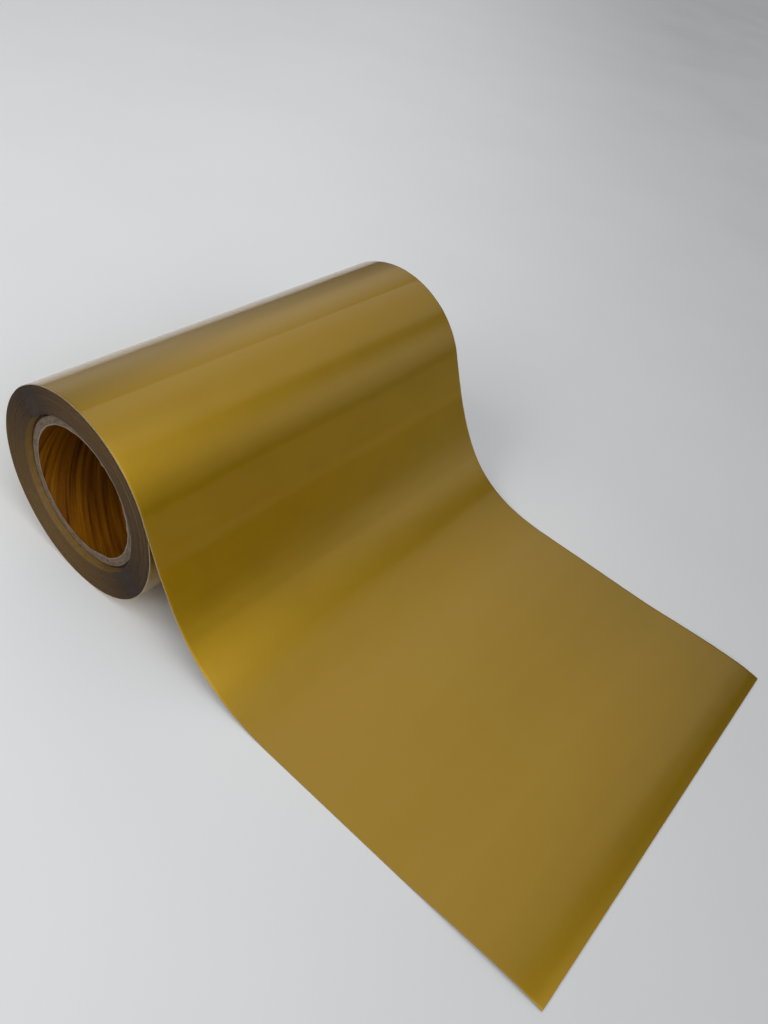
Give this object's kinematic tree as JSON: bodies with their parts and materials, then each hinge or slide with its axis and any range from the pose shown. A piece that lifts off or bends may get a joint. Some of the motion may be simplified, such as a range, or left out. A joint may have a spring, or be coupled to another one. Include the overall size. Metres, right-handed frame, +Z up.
{
  "type": "roll of sign vinyl",
  "caption": "Roll of metallic film on a release liner, wound on a paperboard core, with its outer turn paid off and laid flat as a leader; the roll turns about its core.",
  "frame": {"origin": "bottom centre of the object's box, on the surface that the roll and its leader lie on", "axes": "+X along the roll's axis, -Y the way the leader runs from the roll, +Z up"},
  "size_m": [0.2594, 0.3798, 0.1216],
  "materials": {
    "metallic_film": "metallised gold face film, satin under a clear gloss surface",
    "adhesive": "clear pressure-sensitive acrylic adhesive, glossy and tacky",
    "release_liner": "golden-brown kraft glassine, silicone-coated on the film side, slightly shiny",
    "start_tape": "double-sided tape, matt",
    "core_kraft": "smooth brown kraft paper, slightly glossy, with spiral streaks",
    "core_board": "grey-brown paperboard, cut edge, fibrous"
  },
  "bodies": {
    "web": {"leader_film": "metallic_film", "leader_adhesive": "adhesive", "leader_liner": "release_liner"},
    "roll": {"wound_film": "metallic_film", "wound_adhesive": "adhesive", "wound_liner": "release_liner", "start_tape": "start_tape", "core_inner_ply": "core_kraft", "core_body_ply_1": "core_board", "core_body_ply_2": "core_board", "core_body_ply_3": "core_board", "core_body_ply_4": "core_board", "core_outer_ply": "core_board"}
  },
  "joints": [
    {"name": "roll_spin", "type": "hinge", "parent": "web", "child": "roll", "pos_m": [0, 0.1291, 0.0608], "axis": [1, 0, 0], "continuous": true}
  ]
}
